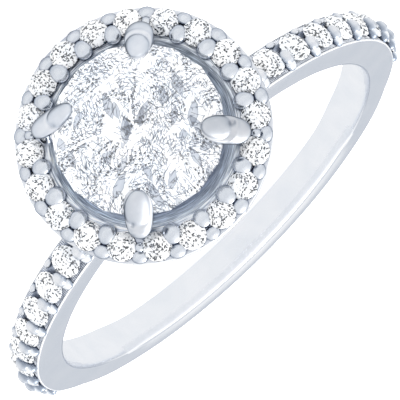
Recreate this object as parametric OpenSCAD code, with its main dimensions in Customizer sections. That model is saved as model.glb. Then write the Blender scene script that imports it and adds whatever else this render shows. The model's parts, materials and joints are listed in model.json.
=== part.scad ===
/* [Shank] */
// Inside diameter of the finger hole, a US size 6 1/2
finger_hole_d = 16.92; // [14:0.1:22]
// Width of the shank along the finger
shank_w = 1.6; // [1.5:0.05:2.4]
// Wall of the plain lower half of the shank
plain_wall = 1.18; // [1:0.02:2]
// How far the polished edge of the stone-set upper half stands above the plain half
set_rise = 0.24; // [0.1:0.02:0.6]
// Rounding of the outer edges of the plain half
outer_round = 0.3; // [0.1:0.02:0.4]
// Rounding of the edges of the finger hole
inner_round = 0.1; // [0.04:0.02:0.3]
// Bevel along the edges of the stone-set half
set_bevel = 0.12; // [0.04:0.02:0.2]
// Slope that brings the stone-set half down to the plain half, in degrees
set_ramp = 15; // [10:1:30]

/* [Shank stones] */
// Stones set on each side of the head
stones_a_side = 8; // [5:1:9]
// Diameter of a shank stone
shank_stone_d = 1.36; // [1:0.02:1.4]
// Gap along the shank between one stone and the next
shank_stone_gap = 0.21; // [0.15:0.01:0.4]
// Angle of the first stone from the middle of the head
first_stone_angle = 34.5; // [30:0.5:45]
// How far a shank stone's girdle stands above the polished edge
shank_girdle_rise = 0.14; // [0:0.02:0.3]
// Width of the groove cut between the shank stones
groove_w = 0.5; // [0.3:0.02:0.7]
// Depth of that groove below the polished edge
groove_depth = 0.52; // [0.3:0.02:0.6]
// Radius of a shank prong
shank_prong_r = 0.24; // [0.15:0.01:0.3]
// How far the tip of a shank prong stands above the girdle of its stones
shank_prong_rise = 0.28; // [0.1:0.02:0.4]
// How far a shank prong leans in over the groove
shank_prong_lean = 0.16; // [0:0.02:0.3]

/* [Halo] */
// Number of stones in the halo
halo_stones = 20; // [12, 20]
// Diameter of a halo stone
halo_stone_d = 1.2; // [0.8:0.02:1.26]
// Height of the halo stones' girdles above the stone-set shank
head_h = 3.78; // [3:0.02:6]
// Outward lean of each halo stone
halo_stone_lean = 9; // [0:1:20]
// Gap between the edge of the centre stone and the inner edge of the halo
halo_clear = 0.28; // [0.2:0.02:0.5]
// Width of the bare ledge inside the halo stones
ledge_w = 0.2; // [0.1:0.02:0.4]
// How far the outer wall of the halo stands outside its stones
rim_w = 0.02; // [0.01:0.01:0.2]
// Height of the outer wall of the halo
halo_wall_h = 0.55; // [0.5:0.05:1.4]
// Height of the sloping inner wall of the halo
halo_inner_h = 1; // [0.8:0.05:1.6]
// Lean of the sloping inner wall from upright
halo_inner_lean = 40; // [10:1:45]
// How far the middles of the halo beads stand above the metal between the stones
bead_lift = 0.04; // [0.02:0.01:0.1]
// Radius of the beads along the inner edge of the halo
inner_bead_r = 0.33; // [0.2:0.01:0.4]
// How far the inner beads stand inside the circle of the halo stones
inner_bead_in = 0.3; // [0.2:0.02:0.4]
// Radius of the beads along the outer edge of the halo
outer_bead_r = 0.27; // [0.2:0.01:0.35]
// How far the outer beads stand outside the circle of the halo stones
outer_bead_out = 0.36; // [0.3:0.02:0.42]

/* [Centre stone and prongs] */
// Diameter of the centre stone
centre_d = 7.0; // [6:0.05:7.4]
// How far the centre stone's girdle stands above those of the halo stones
centre_rise = 0.86; // [0.6:0.02:1.6]
// Radius of a main prong
prong_r = 0.45; // [0.35:0.01:0.6]
// How far the domed tip of a prong reaches in over the edge of the centre stone
prong_reach = 0.72; // [0.4:0.02:1]
// How far the domed tip stands above the centre stone's girdle
prong_rise = 0.95; // [0.8:0.02:1.4]
// Half the spread of the prongs where they meet the shank
prong_foot_r = 0.72; // [0.4:0.02:0.9]
// How deep the edge of the centre stone is let into the prongs
prong_notch = 0.1; // [0.06:0.02:0.2]
// How far below the halo stones' girdles the prongs bend upright
prong_bend_drop = 0.35; // [0.2:0.05:0.5]

/* [Cut of the stones] */
// Table, as a share of the stone's diameter
table_share = 0.55; // [0.5:0.01:0.65]
// Crown height, as a share of the diameter
crown_share = 0.15; // [0.1:0.005:0.17]
// Girdle thickness, as a share of the diameter
girdle_share = 0.03; // [0.02:0.005:0.06]
// Pavilion depth, as a share of the diameter
pavilion_share = 0.43; // [0.4:0.005:0.45]
// Clearance between a stone and its seat
seat_gap = 0.02; // [0.01:0.01:0.05]

/* [Hidden] */
bore_r = finger_hole_d / 2;
plain_r = bore_r + plain_wall;
set_r = plain_r + set_rise;
half_w = shank_w / 2;
smooth = 96;
fine = 32;
overrun = 1;
facets = 8;
star_share = 0.5;
lower_half_share = 0.78;
main_prongs = 4;

// Shank stones: girdle radius, pitch angle and the angle where the setting ends
shank_girdle_r = set_r + shank_girdle_rise;
shank_pitch = 2 * asin((shank_stone_d + shank_stone_gap) / (2 * shank_girdle_r));
set_end = first_stone_angle + (stones_a_side - 1/2) * shank_pitch;
set_margin = shank_prong_r / shank_girdle_r * 180 / PI;
ramp_end = set_end + set_margin + (set_rise + outer_round) / tan(set_ramp) / plain_r * 180 / PI;

// Halo: its top lies a little below the stones' girdles and leans out with them
halo_h = set_r + head_h;
halo_pitch = 360 / halo_stones;
halo_inner_r = centre_d / 2 + halo_clear;
halo_r = halo_inner_r + ledge_w + halo_stone_d / 2;
halo_outer_r = halo_r + halo_stone_d / 2 + rim_w;
plate_drop = 0.12;
halo_taper = 0.1;
halo_under = 0.2;
halo_lip = 0.35;
halo_rim_top = -plate_drop - (halo_outer_r - halo_r) * tan(halo_stone_lean);
ledge_top = -plate_drop + (halo_r - halo_inner_r) * tan(halo_stone_lean);
bowl_r = halo_inner_r - halo_inner_h * tan(halo_inner_lean);

// Main prongs: a thinner leg, an upright part and a slightly thinner domed tip
leg_r = prong_r - 0.05;
tip_r = prong_r - 0.02;
prong_foot_h = set_r - leg_r;
prong_stand_r = centre_d / 2 + prong_r - prong_notch;
prong_bend_h = halo_h - prong_bend_drop;
centre_h = halo_h + centre_rise;
top_h = centre_h + prong_rise;
tip_h = top_h - tip_r;
tip_at = centre_d / 2 - prong_reach + tip_r;
shoulder_h = tip_h - prong_r / 2;

// The finished ring lies on its side: it leans until halo and shank both touch the floor
low_r = plain_r - outer_round;
low_w = half_w - outer_round;
lie_across = halo_outer_r - low_w;
lie_along = halo_h + halo_rim_top + low_r;
lie_lean = atan(lie_across / lie_along) - asin(outer_round / norm([lie_across, lie_along]));
lie_drop = low_w * cos(lie_lean) + low_r * sin(lie_lean) + outer_round;

// Its bottom's middle is the origin: reach of the tips or the table in front, and of the shank behind
table_h = centre_h + centre_d * (girdle_share / 2 + crown_share);
table_reach = table_h * cos(lie_lean) + centre_d / 2 * table_share * sin(lie_lean);
tip_reach = tip_h * cos(lie_lean) + tip_at * cos(180 / main_prongs) * sin(lie_lean) + tip_r;
lie_front = max(tip_reach, table_reach);
lie_back = low_r * cos(lie_lean) + low_w * sin(lie_lean) + outer_round;
lie_y = (lie_front - lie_back) / 2;

shank_stone_names = [
    for (side = ["left", "right"]) for (i = [1 : stones_a_side]) str("shank_stone_", side, "_", i)
];
halo_stone_names = [
    for (i = [1 : halo_stones]) str("halo_stone_", i < 10 ? "0" : "", i)
];

// Points of a quarter circle of radius r about (x, y), from one angle to another
function arc(x, y, r, from, to, steps = 4) =
    [for (i = [0 : steps]) let (a = from + (to - from) * i / steps) [x + r * cos(a), y + r * sin(a)]];

// Section of the plain shank, radius against place along the finger
function shank_section() = concat(
    arc(bore_r + inner_round, half_w - inner_round, inner_round, 180, 90),
    arc(plain_r - outer_round, half_w - outer_round, outer_round, 90, 0),
    arc(plain_r - outer_round, outer_round - half_w, outer_round, 0, -90),
    arc(bore_r + inner_round, inner_round - half_w, inner_round, 270, 180)
);

// Section of the stone-set shank, with bevelled outer edges
function set_section() = [
    [bore_r + inner_round, -half_w],
    [set_r - set_bevel, -half_w],
    [set_r, set_bevel - half_w],
    [set_r, half_w - set_bevel],
    [set_r - set_bevel, half_w],
    [bore_r + inner_round, half_w]
];

// Section of the halo, radius against height above the halo stones' girdles
function halo_section() = [
    [halo_inner_r, ledge_top],
    [halo_outer_r, halo_rim_top],
    [halo_outer_r - halo_taper, halo_rim_top - halo_wall_h],
    [halo_inner_r + halo_lip, halo_rim_top - halo_wall_h - halo_under],
    [bowl_r + halo_lip, ledge_top - halo_inner_h - halo_under],
    [bowl_r, ledge_top - halo_inner_h]
];

// Points of a round brilliant: table, star tips, girdle top and bottom, lower tips and culet
function cut_points(d) =
    let (
        r = d / 2, table_r = r * table_share, crown = d * crown_share, belt = d * girdle_share / 2,
        pav = d * pavilion_share, step = 360 / facets, half = step / 2,
        star_r = table_r * cos(half) + star_share * (r - table_r * cos(half)),
        star_z = crown * (r - star_r * cos(half)) / (r - table_r),
        low_r = (1 - lower_half_share) * r,
        low_z = -pav * (1 - low_r * cos(half) / r)
    )
    concat(
        [for (k = [0 : facets - 1]) [table_r * cos(step * k), table_r * sin(step * k), belt + crown]],
        [for (k = [0 : facets - 1]) [star_r * cos(step * k + half), star_r * sin(step * k + half), belt + star_z]],
        [for (k = [0 : 2 * facets - 1]) [r * cos(half * k), r * sin(half * k), belt]],
        [for (k = [0 : 2 * facets - 1]) [r * cos(half * k), r * sin(half * k), -belt]],
        [for (k = [0 : facets - 1]) [low_r * cos(step * k + half), low_r * sin(step * k + half), low_z - belt]],
        [[0, 0, -pav - belt]]
    );

// Faces of a round brilliant over those points
function cut_faces() =
    let (
        n = facets, star = n, top = 2 * n, low = 4 * n, tip = 6 * n, culet = 7 * n
    )
    concat(
        [[for (k = [n - 1 : -1 : 0]) k]],
        [for (k = [0 : n - 1]) [k, (k + 1) % n, star + k]],
        [for (k = [0 : n - 1]) [k, star + k, top + 2 * k, star + (k + n - 1) % n]],
        [for (k = [0 : n - 1]) [star + k, top + 2 * k + 1, top + 2 * k]],
        [for (k = [0 : n - 1]) [star + k, top + (2 * k + 2) % (2 * n), top + 2 * k + 1]],
        [for (k = [0 : 2 * n - 1]) [top + k, top + (k + 1) % (2 * n), low + (k + 1) % (2 * n), low + k]],
        [for (k = [0 : n - 1]) [low + 2 * k, low + 2 * k + 1, tip + k]],
        [for (k = [0 : n - 1]) [low + 2 * k + 1, low + (2 * k + 2) % (2 * n), tip + k]],
        [for (k = [0 : n - 1]) [low + 2 * k, tip + k, culet, tip + (k + n - 1) % n]]
    );

// Outline of a stone with its clearance, as half of a turned section
function seat_section(d) =
    let (r = d / 2 + seat_gap, belt = d * girdle_share / 2 + seat_gap)
    [
        [0, -belt - d * pavilion_share - seat_gap],
        [r, -belt],
        [r, belt],
        [d / 2 * table_share + seat_gap, belt + d * crown_share],
        [0, belt + d * crown_share]
    ];

// Lays the upright model on its side, with its lowest points on the floor
module laid_down() {
    translate([0, lie_y, lie_drop]) rotate([90 - lie_lean, 0, 0]) children();
}

// Places a child on the shank, its +Z pointing outwards at an angle from the head
module on_shank(angle, radius) {
    rotate([0, angle, 0]) translate([0, 0, radius]) children();
}

// Places a child on the halo circle, its +X pointing outwards
module on_halo(angle, radius, height) {
    rotate([0, 0, angle]) translate([radius, 0, height]) children();
}

// A cylinder of radius r from one point to another
module rod(from, to, r) {
    along = to - from;
    turn = atan2(norm([along.x, along.y]), along.z);
    translate(from) rotate([0, turn, atan2(along.y, along.x)]) cylinder(h = norm(along), r = r, $fn = fine);
}

// A rod with round ends
module capsule(from, to, r) {
    rod(from, to, r);
    translate(from) sphere(r = r, $fn = fine);
    translate(to) sphere(r = r, $fn = fine);
}

// A turned body standing on the finger's axis
module around_finger(section, start = 0, sweep = 360) {
    rotate([90, 0, 0]) rotate_extrude(start = start, angle = sweep, $fn = smooth) polygon(section);
}

module brilliant(d) {
    polyhedron(points = cut_points(d), faces = cut_faces());
}

module seat(d) {
    rotate_extrude($fn = fine) polygon(seat_section(d));
}

module shank_stone_place(side, i) {
    on_shank(side * (first_stone_angle + (i - 1) * shank_pitch), shank_girdle_r) children();
}

module halo_stone_place(i) {
    on_halo((i - 1) * halo_pitch, halo_r, halo_h) rotate([0, halo_stone_lean, 0]) children();
}

// The band round the finger, thicker where the stones are set
module shank() {
    around_finger(shank_section());
    difference() {
        around_finger(set_section(), 90 - ramp_end, 2 * ramp_end);
        for (side = [0, 1]) mirror([side, 0, 0])
            on_shank(set_end + set_margin, set_r) rotate([0, set_ramp, 0])
                translate([0, -half_w - overrun, 0]) cube([plain_r, shank_w + 2 * overrun, plain_r]);
    }
}

// Groove between the stones, one on each side of the head
module grooves() {
    start = first_stone_angle - shank_pitch / 2;
    for (side = [-1, 1])
        around_finger(
            [
                [set_r - groove_depth, -groove_w / 2],
                [set_r + overrun, -groove_w / 2],
                [set_r + overrun, groove_w / 2],
                [set_r - groove_depth, groove_w / 2]
            ],
            side > 0 ? 90 - set_end : 90 + start,
            set_end - start
        );
}

// Pairs of prongs between the shank stones
module shank_prongs() {
    stand = half_w - shank_prong_r;
    tip = shank_girdle_rise + shank_prong_rise - shank_prong_r;
    for (side = [-1, 1], i = [0 : stones_a_side], edge = [-1, 1])
        on_shank(side * (first_stone_angle + (i - 1/2) * shank_pitch), set_r)
            capsule([0, edge * stand, -shank_prong_r], [0, edge * (stand - shank_prong_lean), tip], shank_prong_r);
}

module halo_plate() {
    translate([0, 0, halo_h]) rotate_extrude($fn = smooth) polygon(halo_section());
}

// Beads between the halo stones, left out on the inner edge where a main prong stands
module halo_beads() {
    every = halo_stones / main_prongs;
    inner_h = halo_h - plate_drop + bead_lift + inner_bead_in * tan(halo_stone_lean);
    outer_h = halo_h - plate_drop + bead_lift - outer_bead_out * tan(halo_stone_lean);
    for (i = [0 : halo_stones - 1]) {
        if (i % every != floor(every / 2))
            on_halo((i + 1/2) * halo_pitch, halo_r - inner_bead_in, inner_h) sphere(r = inner_bead_r, $fn = fine);
        on_halo((i + 1/2) * halo_pitch, halo_r + outer_bead_out, outer_h) sphere(r = outer_bead_r, $fn = fine);
    }
}

// The four main prongs, from the shank up through the halo and over the centre stone
module main_prong() {
    foot = [prong_foot_r, 0, prong_foot_h];
    bend = [prong_stand_r, 0, prong_bend_h];
    shoulder = [prong_stand_r, 0, shoulder_h];
    tip = [tip_at, 0, tip_h];
    rod(foot, bend, leg_r);
    capsule(bend, shoulder, prong_r);
    rod(shoulder, tip, tip_r);
    translate(tip) sphere(r = tip_r, $fn = fine);
}

module main_prongs() {
    for (i = [0 : main_prongs - 1]) rotate([0, 0, (i + 1/2) * 360 / main_prongs]) main_prong();
}

module seats() {
    for (side = [-1, 1], i = [1 : stones_a_side]) shank_stone_place(side, i) seat(shank_stone_d);
    for (i = [1 : halo_stones]) halo_stone_place(i) seat(halo_stone_d);
    translate([0, 0, centre_h]) seat(centre_d);
}

// All the metal is soldered into one solid
module ring_metal() {
    color("silver") laid_down() difference() {
        union() {
            difference() {
                shank();
                grooves();
            }
            shank_prongs();
            halo_plate();
            halo_beads();
            main_prongs();
        }
        seats();
        rotate([90, 0, 0]) cylinder(h = 2 * top_h, r = bore_r, center = true, $fn = smooth);
    }
}

module centre_stone() {
    color("white") laid_down() translate([0, 0, centre_h]) brilliant(centre_d);
}

module halo_stone(i) {
    color("white") laid_down() halo_stone_place(i) brilliant(halo_stone_d);
}

module shank_stone(side, i) {
    color("white") laid_down() shank_stone_place(side, i) brilliant(shank_stone_d);
}

ring_metal();
centre_stone();
for (i = [1 : halo_stones])
    halo_stone(i);
for (i = [1 : stones_a_side])
    shank_stone(1, i);
for (i = [1 : stones_a_side])
    shank_stone(-1, i);
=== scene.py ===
import json
import math

import bpy
from mathutils import Matrix, Vector


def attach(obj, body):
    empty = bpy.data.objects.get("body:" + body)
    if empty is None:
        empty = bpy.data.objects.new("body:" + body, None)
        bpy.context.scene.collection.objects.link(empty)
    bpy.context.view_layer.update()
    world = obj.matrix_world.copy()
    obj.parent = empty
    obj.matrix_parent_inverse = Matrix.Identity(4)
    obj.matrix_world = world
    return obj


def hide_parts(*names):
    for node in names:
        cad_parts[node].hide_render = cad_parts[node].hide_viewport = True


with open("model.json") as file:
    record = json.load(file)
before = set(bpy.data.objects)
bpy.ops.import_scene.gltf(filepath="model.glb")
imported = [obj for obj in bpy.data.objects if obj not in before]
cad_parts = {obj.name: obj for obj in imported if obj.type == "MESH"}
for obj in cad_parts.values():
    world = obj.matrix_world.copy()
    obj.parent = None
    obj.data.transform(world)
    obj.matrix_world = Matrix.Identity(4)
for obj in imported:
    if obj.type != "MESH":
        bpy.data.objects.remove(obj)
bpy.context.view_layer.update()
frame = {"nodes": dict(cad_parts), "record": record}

MM = 0.001
WHITE = (1, 1, 1)
BLACK = (0, 0, 0)

# The ring's own frame, in mm: X across it, Y along the finger, Z from the finger hole up to the head
bore = frame["record"]["mounts"][0]
CENTRE = Vector(bore["pos_m"])
FINGER = Vector(bore["axis"]).normalized()
ACROSS = Vector((1, 0, 0))
HEAD = ACROSS.cross(FINGER)
UPRIGHT = Matrix((ACROSS, FINGER, HEAD)).transposed().to_4x4()
UPRIGHT.translation = CENTRE
FROM_MM = UPRIGHT @ Matrix.Scale(MM, 4)

# Shank, in mm and degrees from the middle of the head
BORE_R = bore["dims"]["r_mm"]
PLAIN_WALL = 1.18
SET_RISE = 0.24
PLAIN_R = BORE_R + PLAIN_WALL
SET_R = PLAIN_R + SET_RISE
HALF_W = 0.8
SHANK_STONES = 8
SHANK_STONE_D = 1.36
SHANK_STONE_GAP = 0.21
GIRDLE_RISE = 0.14
SHANK_GIRDLE_R = SET_R + GIRDLE_RISE
SHANK_PITCH = 2 * math.degrees(math.asin((SHANK_STONE_D + SHANK_STONE_GAP) / (2 * SHANK_GIRDLE_R)))
FIRST_STONE = 34.5
SET_END = FIRST_STONE + (SHANK_STONES - 0.5) * SHANK_PITCH
# The stone-set half slopes down to the plain half between these two angles
LAND = 1.4
RAMP_START = SET_END + LAND
RAMP_END = 115.25
GROOVE_HALF = 0.25

# Centre stone, in mm, and its prongs
CENTRE_D = 7.0
MAIN_PRONGS = 4

# Halo, in mm and degrees: heights are measured from the finger's axis
HALO_STONES = 20
HALO_PITCH = 360 / HALO_STONES
HALO_STONE_D = 1.2
HEAD_H = 3.78
HALO_CLEAR = 0.28
LEDGE_W = 0.2
RIM_W = 0.02
HALO_H = SET_R + HEAD_H
HALO_INNER_R = CENTRE_D / 2 + HALO_CLEAR
HALO_R = HALO_INNER_R + LEDGE_W + HALO_STONE_D / 2
HALO_OUTER_R = HALO_R + HALO_STONE_D / 2 + RIM_W
# Fall of the halo's top to a mm outwards, and its drop below the girdles of its stones
HALO_LEAN = math.tan(math.radians(9))
PLATE_DROP = 0.12

# Cut of the stones, as shares of their diameter
GIRDLE_SHARE = 0.03
PAVILION_SHARE = 0.43

# Camera: where it stands as seen from the ring, how far it is turned, and the picture's frame
CAMERA_AZIMUTH = 0.923
CAMERA_ELEVATION = 26.364
CAMERA_ROLL = 135.193
CAMERA_DISTANCE = 0.4
PICTURE = 400
SENSOR = 36.0
FOCAL_PIXELS = 9798.7
CENTRE_PIXEL = (203.5, 203.4)


def camera():
    """The camera stands and is turned as it was for the photo."""
    az, el = math.radians(CAMERA_AZIMUTH), math.radians(CAMERA_ELEVATION)
    back = Vector((math.sin(az) * math.cos(el), -math.cos(az) * math.cos(el), math.sin(el)))
    level_right = Vector((0, 0, 1)).cross(back).normalized()
    level_up = back.cross(level_right)
    roll = math.radians(CAMERA_ROLL)
    right = level_right * math.cos(roll) + level_up * math.sin(roll)
    up = level_up * math.cos(roll) - level_right * math.sin(roll)
    mm_per_pixel = CAMERA_DISTANCE / FOCAL_PIXELS
    off_right = (CENTRE_PIXEL[0] - PICTURE / 2) * mm_per_pixel
    off_down = (CENTRE_PIXEL[1] - PICTURE / 2) * mm_per_pixel
    data = bpy.data.cameras.new("camera")
    data.sensor_width = SENSOR
    data.lens = FOCAL_PIXELS / PICTURE * SENSOR
    data.clip_start = 0.01
    data.clip_end = 10
    obj = bpy.data.objects.new("camera", data)
    bpy.context.scene.collection.objects.link(obj)
    turn = Matrix((right, up, back)).transposed().to_4x4()
    turn.translation = CENTRE + back * CAMERA_DISTANCE - right * off_right + up * off_down
    obj.matrix_world = turn
    bpy.context.scene.camera = obj


def between(value, low, high):
    """How far a value is from low to high, from 0 to 1, eased at both ends."""
    share = min(max((value - low) / (high - low), 0), 1)
    return share * share * (3 - 2 * share)


def blend(a, b, share):
    return a + (b - a) * share


# Materials

# Tones that more than one material has
SLATE = (0.4, 0.44, 0.52)
POLISH = ((0.95, 0.965, 0.99), (0.9, 0.925, 0.96), SLATE)
MIST = (0.7, 0.73, 0.78)
PEARL = (0.86, 0.89, 0.93)
SILVER = (0.84, 0.87, 0.92)
SHADOW = (0.34, 0.39, 0.47)
FLAW_AND_REFLECTION_LINE = (0.1, 0.12, 0.16)


def principled(name):
    mat = bpy.data.materials.new(name)
    mat.use_nodes = True
    return mat, mat.node_tree, mat.node_tree.nodes["Principled BSDF"]


def add(tree, kind, **values):
    """A node with some of its inputs, by name, set to a value or joined to another node's output."""
    node = tree.nodes.new("ShaderNode" + kind)
    for key, value in values.items():
        socket = node.inputs[key.replace("_", " ")]
        if isinstance(value, bpy.types.NodeSocket):
            tree.links.new(value, socket)
        else:
            socket.default_value = value
    return node


def ring_place(tree):
    """Coordinates in mm in the ring's own frame."""
    coord = add(tree, "TexCoord")
    place = add(tree, "Mapping")
    place.vector_type = "TEXTURE"
    place.inputs["Location"].default_value = CENTRE
    place.inputs["Rotation"].default_value = UPRIGHT.to_euler()
    place.inputs["Scale"].default_value = (MM, MM, MM)
    tree.links.new(coord.outputs["Object"], place.inputs["Vector"])
    return place.outputs["Vector"]


def colours(tree, value, stops):
    """A colour ramp over a value."""
    ramp = add(tree, "ValToRGB")
    while len(ramp.color_ramp.elements) < len(stops):
        ramp.color_ramp.elements.new(0.5)
    for element, (place, colour) in zip(ramp.color_ramp.elements, stops):
        element.position = place
        element.color = (*colour, 1)
    tree.links.new(value, ramp.inputs[0])
    return ramp.outputs[0]


def noise(tree, place, scale, detail=3.0):
    """Cloudy noise; the scale is how many clouds there are to a mm."""
    node = add(tree, "TexNoise", Vector=place, Scale=scale, Detail=detail)
    return node.outputs[0]


def crevices(tree, tone, distance, crevice):
    """Paints shade into a tone where other surfaces are close, as in crevices and where parts meet."""
    shade = add(tree, "AmbientOcclusion")
    shade.samples = 8
    shade.inputs["Distance"].default_value = distance * MM
    depth = colours(tree, shade.outputs["AO"], ((0.3, crevice), (0.85, WHITE)))
    return multiply(tree, tone, depth)


# Sockets of a mix node that take its share and its two colours, and the one that gives the result
MIX_SHARE, MIX_FIRST, MIX_SECOND = 0, 6, 7
MIX_RESULT = 2


def blended(tree, mode, first, second, share=None):
    """Two colours put together; the second counts in full, or by the share that a socket gives."""
    mix = add(tree, "Mix")
    mix.data_type = "RGBA"
    mix.blend_type = mode
    if share is None:
        mix.inputs[MIX_SHARE].default_value = 1
    else:
        tree.links.new(share, mix.inputs[MIX_SHARE])
    tree.links.new(first, mix.inputs[MIX_FIRST])
    tree.links.new(second, mix.inputs[MIX_SECOND])
    return mix.outputs[MIX_RESULT]


def multiply(tree, first, second):
    return blended(tree, "MULTIPLY", first, second)


def lighten(tree, first, second):
    return blended(tree, "LIGHTEN", first, second)


def math_node(tree, operation, first, second=0):
    """A sum on a socket and, where it needs one, a second socket or a number."""
    node = add(tree, "Math")
    node.operation = operation
    tree.links.new(first, node.inputs[0])
    if isinstance(second, (int, float)):
        node.inputs[1].default_value = second
    else:
        tree.links.new(second, node.inputs[1])
    return node.outputs[0]


def vector_math(tree, operation, *values):
    """A vector operation on sockets or fixed vectors."""
    node = add(tree, "VectorMath")
    node.operation = operation
    for socket, value in zip(node.inputs, values):
        if isinstance(value, tuple):
            socket.default_value = value
        else:
            tree.links.new(value, socket)
    return node.outputs[0]


# Unevenness of the polished metal: gloss from and to, as shares of the roughness, its patches to a mm,
# and the scratches to a mm, their depth in mm and their strength
GLOSS = (0.8, 1.25)
GLOSS_PATCHES = 6.0
SCRATCHES = 25.0
SCRATCH_DEPTH = 0.01
SCRATCH = 0.05
# Cloudy tones of the plain metal to a mm, and how near other metal has to be for shade to be painted on it,
# in mm
CLOUDS = 0.9
CREVICE_SHADE_REACH = 0.25


def polish(tree, shader, place, rough):
    """Uneven gloss and a fine waviness."""
    gloss = add(tree, "MapRange", To_Min=rough * GLOSS[0], To_Max=rough * GLOSS[1])
    tree.links.new(noise(tree, place, GLOSS_PATCHES), gloss.inputs["Value"])
    tree.links.new(gloss.outputs[0], shader.inputs["Roughness"])
    bump = add(tree, "Bump", Strength=SCRATCH, Distance=SCRATCH_DEPTH * MM)
    tree.links.new(noise(tree, place, SCRATCHES), bump.inputs["Height"])
    tree.links.new(bump.outputs[0], shader.inputs["Normal"])


def metal(name, light, dark, crevice, rough, metallic=1.0):
    """Polished metal: faint cloudy tones, fine scratches and painted shade in crevices."""
    mat, tree, shader = principled(name)
    place = ring_place(tree)
    tone = colours(tree, noise(tree, place, CLOUDS), ((0.35, dark), (0.65, light)))
    tree.links.new(crevices(tree, tone, CREVICE_SHADE_REACH, crevice), shader.inputs["Base Color"])
    shader.inputs["Metallic"].default_value = metallic
    polish(tree, shader, place, rough)
    return mat


# How far the direction of the light painted on the head's domes leans along the finger
TONE_LEAN = 0.3
# How squarely a dome faces that direction where its foot, its side and its top have their tones: painted
# light and shade
DOME_STOPS = (0.3, 0.62, 0.93)
# The domes' faint clouds to a mm and their tone, and the reach in mm and the tone of the shade painted in
# their crevices
DOME_CLOUDS = 2.5
DOME_CLOUD_TONE = (0.92, 0.93, 0.94)
DOME_REACH = 0.3
DOME_CREVICE_SHADE = (0.2, 0.23, 0.3)


def outwards(tree, from_head):
    """How squarely a surface faces the way the head does, or away from the finger's axis: 1 where it does,
    0 where it stands sideways to that."""
    geometry = add(tree, "NewGeometry")
    facing = add(tree, "VectorMath")
    facing.operation = "DOT_PRODUCT"
    tree.links.new(geometry.outputs["Normal"], facing.inputs[0])
    if from_head:
        facing.inputs[1].default_value = tuple((HEAD + FINGER * TONE_LEAN).normalized())
    else:
        spot = vector_math(tree, "SUBTRACT", geometry.outputs["Position"], tuple(CENTRE))
        along = vector_math(tree, "PROJECT", spot, tuple(FINGER))
        way = vector_math(tree, "NORMALIZE", vector_math(tree, "SUBTRACT", spot, along))
        tree.links.new(way, facing.inputs[1])
    return facing.outputs["Value"]


def dome_shaded_metal(name, top, side, foot, from_head=True, rough=0.25, metallic=1.0):
    """Metal of the beads, claws and prongs, with light and shade painted on: a tone each for the top, the
    sides and the foot of a dome, and painted shade in crevices."""
    mat, tree, shader = principled(name)
    place = ring_place(tree)
    # Painted light and shade: lighter where the dome faces the light, darker down its sides to its foot
    tone = colours(tree, outwards(tree, from_head), list(zip(DOME_STOPS, (foot, side, top))))
    clouds = noise(tree, place, DOME_CLOUDS)
    uneven = colours(tree, clouds, ((0.35, DOME_CLOUD_TONE), (0.65, WHITE)))
    shaded = crevices(tree, multiply(tree, tone, uneven), DOME_REACH, DOME_CREVICE_SHADE)
    tree.links.new(shaded, shader.inputs["Base Color"])
    shader.inputs["Metallic"].default_value = metallic
    polish(tree, shader, place, rough)
    return mat


def around_head(tree, place):
    """Distance from the head's axis in mm, angle round it in radians, and height in mm."""
    split = add(tree, "SeparateXYZ")
    tree.links.new(place, split.inputs[0])
    flat = add(tree, "CombineXYZ", Y=split.outputs["Y"], X=split.outputs["X"])
    length = add(tree, "VectorMath")
    length.operation = "LENGTH"
    tree.links.new(flat.outputs[0], length.inputs[0])
    angle = math_node(tree, "ARCTAN2", split.outputs["Y"], split.outputs["X"])
    return length.outputs["Value"], angle, split.outputs["Z"]


# Painted shade in the channel: its tones from the stone, 0, to the halo stones, 1, darkest next to the
# stone, and where those are, in mm from its edge
CHANNEL_SHADE_TONES = ((0.0, (0.13, 0.16, 0.23)), (0.45, SHADOW), (0.75, (0.65, 0.7, 0.77)), (1.0, SILVER))
CHANNEL_FROM = 0.7
CHANNEL_TO = 0.3
CHANNEL_CREVICE_SHADE = (0.45, 0.47, 0.52)
CHANNEL_ROUGH = 0.32
# Its streaks: how many to a mm outwards, to a radian round the head and to a mm of height, and their tones
STREAKS = (26.0, 5.0, 16.0)
STREAK_DETAIL = 5.0
STREAK_TONES = ((0.35, (0.4, 0.43, 0.48)), (0.5, (0.95, 0.95, 0.95)), (0.65, (1.8, 1.8, 1.75)))
STREAK_BUMP = 0.5
STREAK_DEPTH = 0.03
# Painted light on the channel: the side of the head where it is brightest, in degrees, how narrow that is,
# and its light from and to
BRIGHT_SIDE = 40
BRIGHT_POWER = 2.15
BRIGHT = (0.9, 1.4)


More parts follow.
